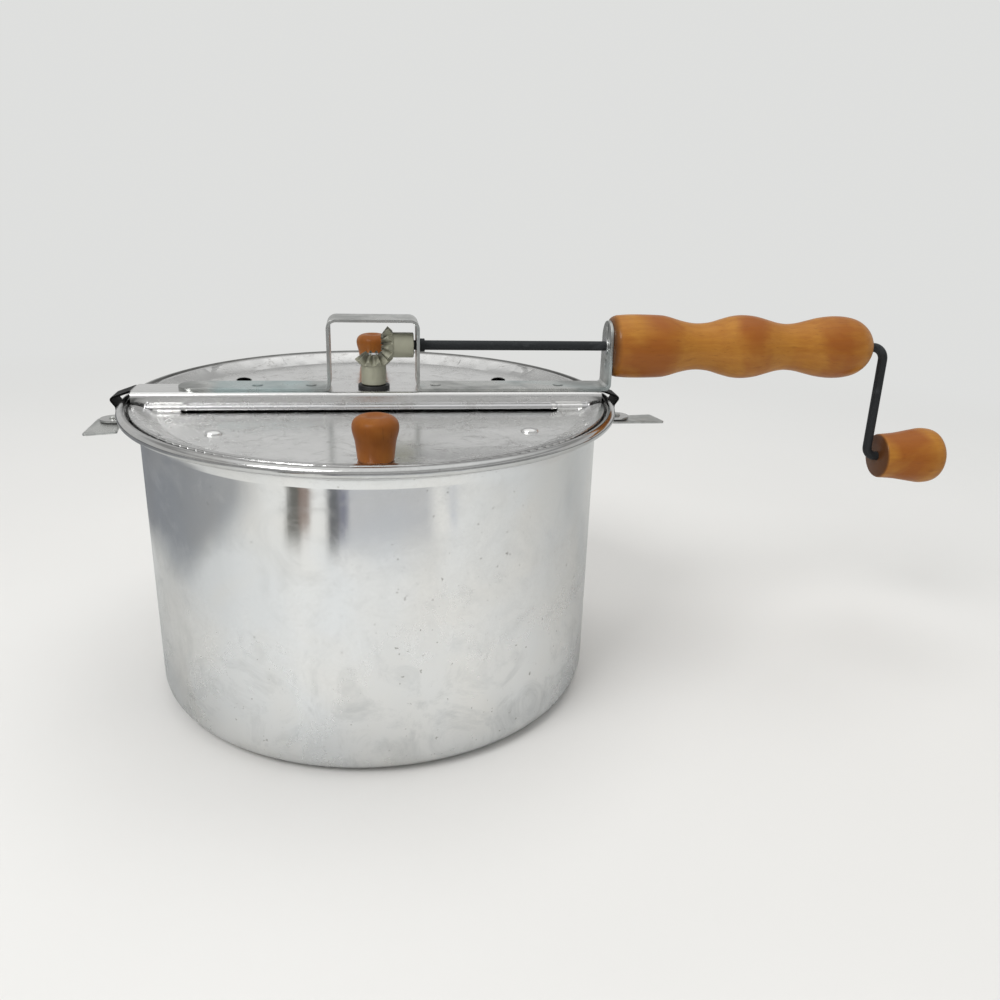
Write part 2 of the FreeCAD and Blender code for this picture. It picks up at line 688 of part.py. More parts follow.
def gear_point(cone, radial, across):
    """A point of the tooth that points along +X; the cones' apex is the origin, the gear's axis +Z.

    cone is the share of the large end, radial the height above the pitch cone, across the half width.
    """
    reach = GEAR_PITCH_R + radial * math.sqrt(0.5)
    depth = GEAR_PITCH_R - radial * math.sqrt(0.5)
    return Vector(reach * cone, across * cone, depth * cone)


def gear_tooth(turn):
    """One straight tooth, tapering towards the apex, turned about the axis by some degrees."""
    module = 2 * GEAR_PITCH_R / GEAR_TEETH
    pitch_half = math.pi * module / 4 - GEAR_BACKLASH
    levels = [(-1.2 * module, pitch_half * 1.35), (0, pitch_half), (0.9 * module, pitch_half * 0.45)]
    wires = []
    for cone in (1.0, GEAR_SMALL_END):
        right = [gear_point(cone, height, half) for height, half in levels]
        left = [gear_point(cone, height, -half) for height, half in levels[::-1]]
        wires.append(Part.makePolygon(right + left + right[:1]))
    tooth = Part.makeLoft(wires, True, True)
    tooth.rotate(Vector(0, 0, 0), Z, turn)
    return tooth


def make_mitre_gear(hub_end, bore_r, first_tooth):
    """A mitre gear with its apex at the origin and its axis along +Z, hub away from the apex."""
    module = 2 * GEAR_PITCH_R / GEAR_TEETH
    root = -1.1 * module
    large_root = gear_point(1.0, root, 0)
    small_root = gear_point(GEAR_SMALL_END, root, 0)
    back_z = large_root.z + 0.2
    outline = [
        Vector(bore_r, 0, small_root.z + 0.8),
        Vector(small_root.x, 0, small_root.z),
        Vector(large_root.x, 0, large_root.z),
        Vector(GEAR_HUB_R, 0, back_z),
        Vector(GEAR_HUB_R, 0, hub_end - 0.4),
        Vector(GEAR_HUB_R - 0.4, 0, hub_end),
        Vector(bore_r, 0, hub_end),
    ]
    blank = revolve(Part.Face(Part.makePolygon(outline + [outline[0]])))
    teeth = [gear_tooth(first_tooth + 360 * index / GEAR_TEETH) for index in range(GEAR_TEETH)]
    bore = Part.makeCylinder(bore_r, 40, Vector(0, 0, -5), Z)
    return blank.fuse(teeth).cut(bore).removeSplitter()


def make_drive_gear():
    gear = make_mitre_gear(DRIVE_HUB_END, ROD_R, 180 / GEAR_TEETH)
    gear.rotate(Vector(0, 0, 0), Y, 90)
    gear.translate(Vector(0, 0, ROD_Z))
    return gear.cut(Part.makeCylinder(GEAR_PIN_R, 20, Vector(DRIVE_PIN_X, 0, ROD_Z - 10), Z))


def make_driven_gear():
    gear = make_mitre_gear(ROD_Z - DRIVEN_HUB_Z, SHAFT_R, 0)
    gear.rotate(Vector(0, 0, 0), X, 180)
    gear.translate(Vector(0, 0, ROD_Z))
    return gear.cut(Part.makeCylinder(GEAR_PIN_R, 20, Vector(0, -10, DRIVEN_PIN_Z), Y))


def make_bushing():
    sleeve = Part.makeCylinder(BUSH_SLEEVE_R, BUSH_SLEEVE, Vector(0, 0, BAR_TOP_Z - BUSH_SLEEVE), Z)
    flange = Part.makeCylinder(BUSH_FLANGE_R, BUSH_FLANGE, Vector(0, 0, BAR_TOP_Z), Z)
    rim = [edge for edge in flange.Edges if edge.BoundBox.ZMin > BAR_TOP_Z + BUSH_FLANGE - 0.1
           and edge.BoundBox.XLength > BUSH_FLANGE_R]
    flange = flange.makeFillet(BUSH_EDGE_R, rim)
    bore = Part.makeCylinder(SHAFT_R + RUNNING_GAP, FAR, Vector(0, 0, 0), Z)
    return sleeve.fuse(flange).cut(bore)


def make_stir_shaft():
    top_z = ROD_Z - GEAR_SHAFT_GAP
    shaft = Part.makeCylinder(SHAFT_R, top_z - SHAFT_BOTTOM_Z, Vector(0, 0, SHAFT_BOTTOM_Z), Z)
    groove_width = SNAP_RING_SHEET + 2 * GROOVE_PLAY
    groove_z = SNAP_RING_Z - GROOVE_PLAY
    groove = tube_along(Vector(0, 0, groove_z), Z, groove_width, SHAFT_R + 1, SHAFT_R - GROOVE_DEPTH)
    pin_hole = Part.makeCylinder(GEAR_PIN_R, 20, Vector(0, -10, DRIVEN_PIN_Z), Y)
    wire_hole = Part.makeCylinder(STIR_WIRE_R, 20, Vector(-10, 0, STIR_WIRE_Z), X)
    return shaft.cut([groove, pin_hole, wire_hole])


def make_stir_hub():
    """The collar at the foot of the shaft, cross-drilled for the wire."""
    low = SHAFT_BOTTOM_Z - HUB_FLOOR
    hub = tube_along(Vector(0, 0, low), Z, HUB_HEIGHT, HUB_R, SHAFT_R)
    hub = hub.fuse(Part.makeCylinder(HUB_R, HUB_FLOOR, Vector(0, 0, low), Z))
    return hub.cut(Part.makeCylinder(STIR_WIRE_R, 20, Vector(-10, 0, STIR_WIRE_Z), X)).removeSplitter()


def make_stir_wire():
    """One wire through the hub, both arms swept back and turned up beside the pan's corner."""
    low_z = STIR_WIRE_Z - STIR_DIP
    sweep = math.radians(STIR_SWEEP)
    tip = Vector(STIR_REACH * math.cos(sweep), STIR_REACH * math.sin(sweep), STIR_WIRE_Z + STIR_TIP_RISE)
    right = [Vector(STIR_ELBOW_X, 0, STIR_WIRE_Z), Vector(*STIR_KNEE, low_z), Vector(*STIR_TOE, low_z), tip]
    left = [Vector(-point.x, -point.y, point.z) for point in right]
    bends = [STIR_TIP_BEND_R, STIR_BEND_R, STIR_BEND_R]
    path = filleted_path(left[::-1] + right, bends + bends[::-1])
    return round_rod(path, STIR_WIRE_R)


def make_shaft_washer():
    start = Vector(0, 0, BAR_TOP_Z - BUSH_SLEEVE - WASHER_SHEET - 2 * GROOVE_PLAY)
    return tube_along(start, Z, WASHER_SHEET, WASHER_R, SHAFT_R)


def make_snap_ring():
    outer = SHAFT_R + SNAP_RING_WIDTH
    ring = tube_along(Vector(0, 0, SNAP_RING_Z), Z, SNAP_RING_SHEET, outer, SHAFT_R - GROOVE_DEPTH)
    gap = box_between((0, -1.4, SNAP_RING_Z - 1), (8, 1.4, SNAP_RING_Z + 2))
    return ring.cut(gap)


def make_rod_collar():
    start = Vector(ARCH_HALF + STRAP_SHEET / 2 + ROD_COLLAR_GAP, 0, ROD_Z)
    return tube_along(start, X, ROD_COLLAR, ROD_R + ROD_COLLAR_WALL, ROD_R)


def make_gear_pin(centre, axis):
    return Part.makeCylinder(GEAR_PIN_R, 2 * GEAR_HUB_R - 0.4, centre - axis * (GEAR_HUB_R - 0.2), axis)


def make_clip():
    """A lid clip, pointing straight out at its pivot; the edge that meets the pan follows its rim."""
    pivot = Vector(CLIP_PIVOT_X, 0, CLIP_Z)
    inner_middle, inner_end = CLIP_INNER_EDGE
    near = pivot + Vector(-CLIP_NOSE_R, 0, 0)
    near_corner = pivot + Vector(-CLIP_NOSE_R, -CLIP_OUTER_EDGE, 0)
    far_corner = pivot + Vector(CLIP_LENGTH, -CLIP_OUTER_EDGE, 0)
    short_corner = pivot + Vector(CLIP_SHORT_LENGTH, inner_end, 0)
    edge_middle = pivot + Vector(CLIP_SHORT_LENGTH / 2, inner_middle, 0)
    nose_end = pivot + Vector(0, CLIP_NOSE_R, 0)
    nose_middle = pivot + Vector(-1, 1, 0) * (CLIP_NOSE_R * math.sqrt(0.5))
    face = face_of([
        line(near, near_corner),
        line(near_corner, far_corner),
        line(far_corner, short_corner),
        arc(short_corner, edge_middle, nose_end),
        arc(nose_end, nose_middle, near),
    ])
    clip = face.extrude(Vector(0, 0, CLIP_SHEET))
    corners = [edge for edge in clip.Edges if is_upright_edge_beyond(edge, pivot.x + CLIP_NOSE_R)]
    clip = clip.makeFillet(CLIP_CORNER_R, corners)
    return clip.cut(Part.makeCylinder(CLIP_RIVET_R + RUNNING_GAP, FAR, Vector(pivot.x, 0, 0), Z))


def is_upright_edge_beyond(edge, limit_x):
    box = edge.BoundBox
    return box.ZLength > CLIP_SHEET / 2 and box.XLength < 0.01 and box.XMin > limit_x


def make_clip_rivet(side):
    centre_x = side * CLIP_PIVOT_X
    low = CLIP_Z - 0.15
    high = CLIP_EAR_Z + BAR_SHEET
    shank = Part.makeCylinder(CLIP_RIVET_R, high - low, Vector(centre_x, 0, low), Z)
    head = Part.makeCone(CLIP_RIVET_R + 1.5, CLIP_RIVET_R + 0.8, CLIP_RIVET_HEAD, Vector(centre_x, 0, low), Z * -1)
    set_head = Part.makeCone(CLIP_RIVET_R + 0.5, CLIP_RIVET_R + 0.2, CLIP_RIVET_HEAD, Vector(centre_x, 0, high), Z)
    return shank.fuse([head, set_head]).removeSplitter()


def build_all():
    flap = make_flap()
    knob = make_lid_knob()
    knob_screw = make_knob_screw()
    knob_washer = make_knob_washer()
    right_clip = make_clip()
    left_clip = turned_half(right_clip)
    left_clip.rotate(Vector(-CLIP_PIVOT_X, 0, 0), Z, 90)
    return {
        "pan": make_pan(),
        "lid_bar": make_lid_bar(),
        "front_hinge_rod": make_hinge_rod(-1),
        "rear_hinge_rod": make_hinge_rod(1),
        "handle_bracket": make_bracket(),
        "bracket_rivets": Part.makeCompound([make_rivet(place) for place in BRACKET_RIVET_X]),
        "shaft_bushing": make_bushing(),
        "rod_eyelet": make_eyelet(),
        "main_grip": make_grip(),
        "grip_screws": Part.makeCompound([make_grip_screw(place) for place in grip_screw_places()]),
        "clip_rivets": Part.makeCompound([make_clip_rivet(side) for side in (-1, 1)]),
        "front_flap": flap,
        "front_knob": knob,
        "front_knob_screw": knob_screw,
        "front_knob_washer": knob_washer,
        "rear_flap": turned_half(flap),
        "rear_knob": turned_half(knob),
        "rear_knob_screw": turned_half(knob_screw),
        "rear_knob_washer": turned_half(knob_washer),
        "crank_rod": make_crank_rod(),
        "rod_collar": make_rod_collar(),
        "drive_gear": make_drive_gear(),
        "drive_gear_pin": make_gear_pin(Vector(DRIVE_PIN_X, 0, ROD_Z), Z),
        "knob_retainer": make_retainer(),
        "crank_knob": make_crank_knob(),
        "stir_shaft": make_stir_shaft(),
        "driven_gear": make_driven_gear(),
        "driven_gear_pin": make_gear_pin(Vector(0, 0, DRIVEN_PIN_Z), Y),
        "shaft_washer": make_shaft_washer(),
        "shaft_snap_ring": make_snap_ring(),
        "stir_hub": make_stir_hub(),
        "stir_wire": make_stir_wire(),
        "left_clip": left_clip,
        "right_clip": right_clip,
    }


os.makedirs("parts", exist_ok=True)
for name, shape in build_all().items():
    shape.exportStep("parts/" + name + ".step")
    print(name, "sound" if shape.isValid() else "UNSOUND", len(shape.Solids))
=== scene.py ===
"""Looks of the stovetop popcorn popper: spun pan, two-flap lid, hand crank and turned wood."""
import json
import math

import bpy
from mathutils import Matrix, Vector


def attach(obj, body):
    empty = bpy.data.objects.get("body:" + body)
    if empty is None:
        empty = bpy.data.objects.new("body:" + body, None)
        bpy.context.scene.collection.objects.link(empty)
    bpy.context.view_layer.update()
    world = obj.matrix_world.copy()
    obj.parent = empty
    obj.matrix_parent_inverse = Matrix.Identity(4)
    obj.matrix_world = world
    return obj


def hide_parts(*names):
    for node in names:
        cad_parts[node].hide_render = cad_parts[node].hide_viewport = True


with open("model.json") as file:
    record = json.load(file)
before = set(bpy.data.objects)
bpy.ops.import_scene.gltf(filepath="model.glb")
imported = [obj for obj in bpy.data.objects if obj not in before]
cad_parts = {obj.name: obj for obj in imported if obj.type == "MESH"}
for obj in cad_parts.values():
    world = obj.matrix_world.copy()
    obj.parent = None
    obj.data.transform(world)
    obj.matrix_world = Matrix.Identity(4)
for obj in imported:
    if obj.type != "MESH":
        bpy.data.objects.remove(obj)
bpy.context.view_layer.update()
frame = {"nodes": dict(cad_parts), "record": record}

MM = 0.001
BODY_OF = {node: body for body, nodes in frame["record"]["behaviour"]["bodies"].items() for node in nodes}

# The photograph's camera, in millimetres and degrees, for a 1000 by 1000 frame
CAMERA_PLACE = (-1.3, -457.7, 259.0)
CAMERA_YAW = 8.51
CAMERA_PITCH = 20.01
CAMERA_ROLL = 1.85
FOCAL_PIXELS = 900
FRAME_PIXELS = 1000
SENSOR_WIDTH = 36.0

# Places of the part that the finishes are laid out by, in metres
GRIP_START = 0.1224
KNOB_START = 0.2840
SWELL_AT = 0.194
SWELL_STEP = 0.052
GEAR_APEX = (0.0, 0.0, 0.1752)
DARK_SPOT = (0.0045, -0.001, 0.1886)
BAR_END = 0.1173

# Tones of the studio
BACKDROP = (0.735, 0.740, 0.730)
WORLD_TONE = (0.595, 0.60, 0.59)

# Working sizes, in millimetres and degrees
POLE_RADIUS = 0.02
EDGE_ROUNDING = 0.2
FORMED_ANGLE = 40
TURNED_ANGLE = 50
ROD_AXIS_Z = 175.2
CRANK_DROP = 62.0


class Value:
    """The output of a shader node, with plain arithmetic."""

    def __init__(self, surface, socket):
        self.surface = surface
        self.socket = socket

    def math(self, operation, *others):
        values = dict(enumerate((self,) + others))
        return self.surface.node("ShaderNodeMath", {"operation": operation}, values)

    def __add__(self, other):
        return self.math("ADD", other)

    def __mul__(self, other):
        return self.math("MULTIPLY", other)

    def __sub__(self, other):
        return self.math("SUBTRACT", other)

    def __rsub__(self, other):
        return self.surface.node("ShaderNodeMath", {"operation": "SUBTRACT"}, {0: other, 1: self})

    def __pow__(self, other):
        return self.math("POWER", other)

    __radd__ = __add__
    __rmul__ = __mul__


class Shading:
    """A tree of shader nodes, and the place it reads."""

    def __init__(self, tree, coordinates):
        self.tree = tree
        self.place = self.node("ShaderNodeTexCoord", {}, {}, coordinates)

    def node(self, kind, settings, values, output=0):
        """Adds a node: its settings first, then the values or links of its sockets."""
        made = self.tree.nodes.new(kind)
        for name, value in settings.items():
            if name == "stops":
                self.set_stops(made.color_ramp, value)
            else:
                setattr(made, name, value)
        for name, value in values.items():
            socket = made.inputs[name]
            if isinstance(value, Value):
                self.tree.links.new(value.socket, socket)
            elif hasattr(value, "__len__") and len(value) == 3 and socket.type == "RGBA":
                socket.default_value = (*value, 1.0)
            else:
                socket.default_value = value
        return Value(self, made.outputs[output])

    def set_stops(self, ramp, stops):
        while len(ramp.elements) < len(stops):
            ramp.elements.new(1.0)
        for element, (place, tone) in zip(ramp.elements, stops):
            element.position = place
            element.color = (tone, tone, tone, 1.0)

    def stretched(self, scale, turn=(0, 0, 0), shift=(0, 0, 0)):
        values = {"Vector": self.place, "Scale": scale, "Rotation": turn, "Location": shift}
        return self.node("ShaderNodeMapping", {}, values)

    def noise(self, scale, detail=3.0, roughness=0.5, distortion=0.0, stretch=(1, 1, 1), shift=(0, 0, 0)):
        vector = self.stretched(stretch, shift=shift)
        values = {"Vector": vector, "Scale": scale, "Detail": detail, "Roughness": roughness,
                  "Distortion": distortion}
        return self.node("ShaderNodeTexNoise", {}, values)

    def ramp(self, value, low, high, tones=(0.0, 1.0)):
        """The value spread between two limits, clamped."""
        return self.node("ShaderNodeMapRange", {"clamp": True},
                         {"Value": value, "From Min": low, "From Max": high, "To Min": tones[0],
                          "To Max": tones[1]})

    def mix(self, factor, first, second):
        return self.node("ShaderNodeMix", {"data_type": "RGBA"}, {0: factor, 6: first, 7: second}, 2)

    def along(self, axis):
        """One coordinate of the surface, in metres."""
        return self.node("ShaderNodeSeparateXYZ", {}, {0: self.place}, "XYZ".index(axis))

    def radius(self):
        """Distance from the upright axis, in metres."""
        x, y = self.along("X"), self.along("Y")
        return (x * x + y * y) ** 0.5

    def distance(self, point):
        """Distance from a point, in metres."""
        return self.node("ShaderNodeVectorMath", {"operation": "DISTANCE"}, {0: self.place, 1: point}, 1)


class Surface(Shading):
    """A finish, built from nodes on a Principled shader."""

    def __init__(self, name, **constants):
        self.material = bpy.data.materials.new(name)
        self.material.use_nodes = True
        super().__init__(self.material.node_tree, "Object")
        self.shader = self.tree.nodes["Principled BSDF"]
        for socket, value in constants.items():
            self.shader.inputs[socket.replace("_", " ")].default_value = value

    def set(self, **links):
        for socket, value in links.items():
            self.tree.links.new(value.socket, self.shader.inputs[socket.replace("_", " ")])

    def bump(self, height, distance, strength=1.0):
        values = {"Height": height, "Distance": distance, "Strength": strength}
        self.set(Normal=self.node("ShaderNodeBump", {}, values, "Normal"))


def pan_aluminium():
    """Spun aluminium: near mirror at the top, milky deposits and smudges lower down, dirt and painted shade
    in the crease inside the rim, painted darker reflections on the bead.
    """
    surface = Surface("spun_aluminium")
    height = surface.along("Z")
    low_down = surface.ramp(height, 0.03, 0.125, (1.0, 0.0))
    cloud = surface.noise(11.0, 5.0, 0.62, 0.8)
    runs = surface.noise(70.0, 3.0, 0.6, 0.2, stretch=(1.0, 1.0, 0.07))
    fine_runs = surface.noise(420.0, 2.0, 0.6, 0.0, stretch=(1.0, 1.0, 0.03))
    mottle = surface.noise(85.0, 4.0, 0.7, 1.0)
    milk = surface.ramp(cloud * 0.7 + mottle * 0.3 + low_down * 0.14, 0.50, 0.70)
    specks = surface.ramp(surface.noise(420.0, 2.0, 0.5), 0.70, 0.76) * surface.ramp(cloud, 0.42, 0.55)
    smudges = surface.ramp(surface.noise(32.0, 5.0, 0.7, 1.4, shift=(2, 5, 1)), 0.48, 0.68)
    tint = surface.ramp(surface.noise(24.0, 2.0, 0.5, 0.4, shift=(3, 1, 2)), 0.35, 0.65)
    colour = surface.mix(tint, (0.755, 0.77, 0.785), (0.775, 0.765, 0.745))
    colour = surface.mix(runs * 0.3, colour, (0.60, 0.61, 0.61))
    colour = surface.mix(milk * 0.45, colour, (0.78, 0.78, 0.765))
    colour = surface.mix(smudges * (low_down * 0.45 + 0.12), colour, (0.52, 0.53, 0.53))
    colour = surface.mix(specks * 0.7, colour, (0.28, 0.27, 0.25))
    # Painted shade: the rolled bead is darkened to stand in for its darker reflections.
    bead = surface.ramp(height, 0.1449, 0.1457)
    colour = surface.mix(bead * (mottle * 0.5 + 0.2), colour, (0.40, 0.40, 0.39))
    # Partly dirt and partly painted shade: a dark line in the crease where the lid's rim sits inside the
    # bead.
    dirt_and_crease_shade = surface.ramp(surface.radius(), 0.1203, 0.1214, (1.0, 0.0)) * surface.ramp(height, 0.1440, 0.1465)
    colour = surface.mix(dirt_and_crease_shade * (mottle * 0.5 + 0.55), colour, (0.10, 0.10, 0.095))
    haze = milk * 0.15 + low_down * 0.09 + runs * 0.07 + fine_runs * 0.05 + smudges * 0.06
    surface.set(Base_Color=colour, Roughness=haze + 0.05, Metallic=1.0 - milk * 0.22)
    surface.bump(fine_runs * 0.5 + mottle * 0.7 + cloud * 2.2, 0.00003, 0.5)
    return surface.material


def lid_aluminium():
    """Lid sheet: duller, water-marked and scuffed, with painted shade on the rolled rim."""
    surface = Surface("lid_aluminium", Metallic=1.0)
    cloud = surface.noise(22.0, 5.0, 0.65, 1.2)
    marks = surface.ramp(surface.noise(75.0, 4.0, 0.7, 1.5), 0.52, 0.66)
    spots = surface.ramp(surface.noise(330.0, 2.0, 0.6), 0.62, 0.75)
    scratches = surface.noise(120.0, 3.0, 0.7, 0.4, stretch=(0.2, 1.0, 1.0), shift=(4, 2, 0))
    scuff = surface.ramp(scratches, 0.58, 0.7)
    rings = surface.noise(48.0, 5.0, 0.75, 2.5, shift=(1, 3, 0))
    dried = surface.ramp((rings - 0.5).math("ABSOLUTE"), 0.0, 0.035, (1.0, 0.0)) * marks
    dull = surface.ramp(cloud, 0.35, 0.7) * 0.5 + marks * 0.35 + spots * 0.15
    colour = surface.mix(dull, (0.88, 0.88, 0.875), (0.72, 0.72, 0.71))
    colour = surface.mix(scuff * 0.3, colour, (0.52, 0.52, 0.51))
    colour = surface.mix(dried * 0.6, colour, (0.34, 0.32, 0.30))
    # Painted shade: the rolled rim is darkened to stand in for its darker reflections.
    rolled = surface.ramp(surface.radius(), 0.1146, 0.1156)
    colour = surface.mix(rolled * 0.55, colour, (0.42, 0.42, 0.415))
    surface.set(Base_Color=colour, Roughness=dull * 0.24 + scuff * 0.08 + 0.16)
    surface.bump(cloud * 2.0 + marks * 0.6 + spots * 0.4, 0.00005, 0.6)
    return surface.material


def folded_aluminium():
    """The lid bar: bright rolled sheet with lengthwise rolling lines."""
    surface = Surface("folded_aluminium", Metallic=1.0)
    lines = surface.noise(260.0, 3.0, 0.6, stretch=(0.03, 1.0, 1.0))
    cloud = surface.noise(35.0, 3.0, 0.6, 0.8)
    spots = surface.ramp(surface.noise(300.0, 2.0, 0.6), 0.6, 0.74)
    colour = surface.mix(lines * 0.5 + spots * 0.3, (0.88, 0.88, 0.875), (0.66, 0.65, 0.64))
    across = surface.along("X").math("ABSOLUTE")
    height = surface.along("Z")
    # Painted shade: the hooked ends of the bar, which lie in shadow over the bead, are painted near black.
    end_shade = surface.ramp(across, BAR_END, BAR_END + 0.001) * surface.ramp(height, 0.1425, 0.1445)
    colour = surface.mix(end_shade, colour, (0.012, 0.012, 0.012))
    # Painted shade on the parts of the bar that hang below the rim.
    below = surface.ramp(height, 0.1395, 0.1405, (1.0, 0.0))
    colour = surface.mix(below * 0.6, colour, (0.36, 0.36, 0.35))
    rough = lines * 0.12 + cloud * 0.14 + spots * 0.1 + end_shade * 0.35 + 0.1
    surface.set(Base_Color=colour, Roughness=rough)
    surface.bump(lines * 0.6 + cloud * 1.4, 0.00004, 0.6)
    return surface.material


def zinc_steel():
    """Zinc plating: grey, dulled in places, pale blue over part of one foot and dark at its end."""
    surface = Surface("zinc_steel", Metallic=1.0)
    along = surface.along("X") + surface.noise(90.0, 3.0, 0.6) * 0.01
    blue = surface.ramp(along, -0.078, -0.070) * surface.ramp(along, -0.036, -0.026, (1.0, 0.0))
    tint = surface.ramp(surface.noise(16.0, 3.0, 0.6, 0.8, shift=(0.6, 0, 0)), 0.50, 0.62)
    grain = surface.noise(420.0, 3.0, 0.6)
    wear = surface.ramp(surface.noise(38.0, 4.0, 0.65, 0.5), 0.44, 0.66)
    foot_end = surface.ramp(along, -0.096, -0.078, (1.0, 0.0)) * surface.ramp(surface.along("Z"), 0.15, 0.152)
    colour = surface.mix(wear, (0.62, 0.63, 0.61), (0.36, 0.37, 0.36))
    colour = surface.mix(tint * 0.3 + blue * 0.6, colour, (0.52, 0.66, 0.67))
    colour = surface.mix(foot_end * 0.7, colour, (0.17, 0.175, 0.17))
    surface.set(Base_Color=colour, Roughness=wear * 0.16 + grain * 0.12 + 0.22)
    surface.bump(grain, 0.00003, 0.5)
    return surface.material


def bright_steel():
    surface = Surface("bright_steel", Metallic=1.0)
    grain = surface.noise(500.0, 3.0, 0.6, stretch=(0.2, 1.0, 1.0))
    stain = surface.ramp(surface.noise(110.0, 3.0, 0.6), 0.5, 0.75)
    colour = surface.mix(stain, (0.70, 0.70, 0.71), (0.48, 0.47, 0.46))
    surface.set(Base_Color=colour, Roughness=stain * 0.2 + grain * 0.1 + 0.18)
    surface.bump(grain, 0.00002, 0.5)
    return surface.material


def black_steel():
    """The crank rod: black finish, a little worn to grey."""
    surface = Surface("black_steel", Specular_IOR_Level=0.2)
    grain = surface.noise(380.0, 3.0, 0.6, stretch=(0.15, 1.0, 1.0))
    wear = surface.ramp(surface.noise(70.0, 4.0, 0.7, 0.5), 0.56, 0.78)
    colour = surface.mix(wear * 0.7, (0.020, 0.022, 0.024), (0.075, 0.08, 0.085))
    surface.set(Base_Color=colour, Roughness=grain * 0.15 + wear * 0.1 + 0.45)
    surface.bump(grain, 0.00003, 0.5)
    return surface.material


def nylon(name, clean, darkened_tone, reach):
    """Moulded nylon, darker on what lies near the point where the gears meet, and at one spot above it."""
    surface = Surface(name, Specular_IOR_Level=0.4)
    mottling = surface.noise(160.0, 4.0, 0.65, 0.6)
    # Darker towards the point where the gears meet, and at one dark spot above it.
    near = surface.ramp(surface.distance(GEAR_APEX), reach * 0.75, reach * 1.25, (1.0, 0.0))
    lump = surface.ramp(surface.distance(DARK_SPOT) + mottling * 0.002, 0.004, 0.0062, (1.0, 0.0))
    darkening = surface.ramp(mottling * 0.7 + near * 0.4, 0.52, 0.80)
    colour = surface.mix(surface.ramp(mottling, 0.3, 0.7) * 0.35, clean, tuple(tone * 0.72 for tone in clean))
    colour = surface.mix(darkening * 0.85, colour, darkened_tone)
    colour = surface.mix(lump * 0.8, colour, (0.055, 0.055, 0.05))
    surface.set(Base_Color=colour, Roughness=darkening * -0.2 + mottling * 0.15 + 0.42)
    surface.bump(mottling, 0.00008, 0.6)
    return surface.material


def varnished_wood(name, grain_axis, light, dark):
    """Stained and varnished beech: long fibres, darker flame on the swells, dark end grain, painted shade
    where the grip meets its plate.
    """
    surface = Surface(name, Coat_Roughness=0.13, Coat_IOR=1.45, Specular_IOR_Level=0.16)
    long_way = tuple(0.06 if axis == grain_axis else 1.0 for axis in "XYZ")
    fleck_way = tuple(0.16 if axis == grain_axis else 1.0 for axis in "XYZ")
    band_way = tuple(1.0 if axis == grain_axis else 0.3 for axis in "XYZ")
    fibres = surface.noise(420.0, 4.0, 0.65, 0.15, stretch=long_way)
    flecks = surface.ramp(surface.noise(900.0, 2.0, 0.5, 0.0, stretch=fleck_way), 0.62, 0.72)
    bands = surface.noise(44.0, 2.0, 0.5, 0.5, stretch=band_way, shift=(1.3, 0, 0.4))
    patches = surface.noise(30.0, 3.0, 0.55, 0.5, shift=(5, 2, 7))
    along = surface.along(grain_axis)
    swells = patches
    if grain_axis == "X":
        swells = ((along - SWELL_AT) * (2 * math.pi / SWELL_STEP)).math("COSINE")
    flame = surface.ramp(swells * 0.13 + patches * 0.8 + bands * 0.2, 0.50, 0.66)
    colour = surface.mix(surface.ramp(bands * 0.6 + fibres * 0.4, 0.38, 0.62) * 0.5, light, dark)
    colour = surface.mix(flame * 0.85, colour, dark)
    colour = surface.mix(fibres * 0.3, colour, tuple(value * 0.6 for value in dark))
    colour = surface.mix(flecks * 0.25, colour, tuple(value * 0.45 for value in dark))
    if grain_axis == "X":
        # End grain and painted shade: the grip's end by the plate is darkened for the shadow in the gap
        # there.
        grip_end_grain_and_shade = surface.ramp(along, GRIP_START, GRIP_START + 0.0034, (1.0, 0.0))
        knob_end = (surface.ramp(along, KNOB_START, KNOB_START + 0.001, (1.0, 0.0))
                    * surface.ramp(along, KNOB_START - 0.002, KNOB_START - 0.001))
        colour = surface.mix(grip_end_grain_and_shade * 0.75, colour, (0.030, 0.012, 0.006))
        colour = surface.mix(knob_end * 0.9, colour, (0.075, 0.028, 0.012))
    worn = surface.ramp(surface.noise(60.0, 4.0, 0.7, 0.4), 0.5, 0.75)
    rough = worn * 0.15 + fibres * 0.1 + 0.42
    surface.set(Base_Color=colour, Roughness=rough, Coat_Weight=0.22 - worn * 0.16)
    surface.bump(fibres * 0.6 + flecks * -0.3 + patches * 1.8, 0.00008, 0.55)
    return surface.material


FINISHES = {
    "spun_aluminium": pan_aluminium(),
    "lid_aluminium": lid_aluminium(),
    "folded_aluminium": folded_aluminium(),
    "zinc_steel": zinc_steel(),
    "bright_steel": bright_steel(),
    "black_steel": black_steel(),
    "cream_nylon": nylon("cream_nylon", (0.37, 0.365, 0.28), (0.07, 0.065, 0.045), 0.0105),
    "black_nylon": nylon("black_nylon", (0.02, 0.02, 0.02), (0.01, 0.01, 0.01), 0.0105),
    "wood": varnished_wood("wood", "X", (0.47, 0.205, 0.030), (0.30, 0.085, 0.011)),
}
UPRIGHT_WOOD = varnished_wood("upright_wood", "Z", (0.38, 0.140, 0.018), (0.23, 0.066, 0.008))
SLOT_OF = {part["node"]: part["material_slot"] for part in frame["record"]["subparts"]}


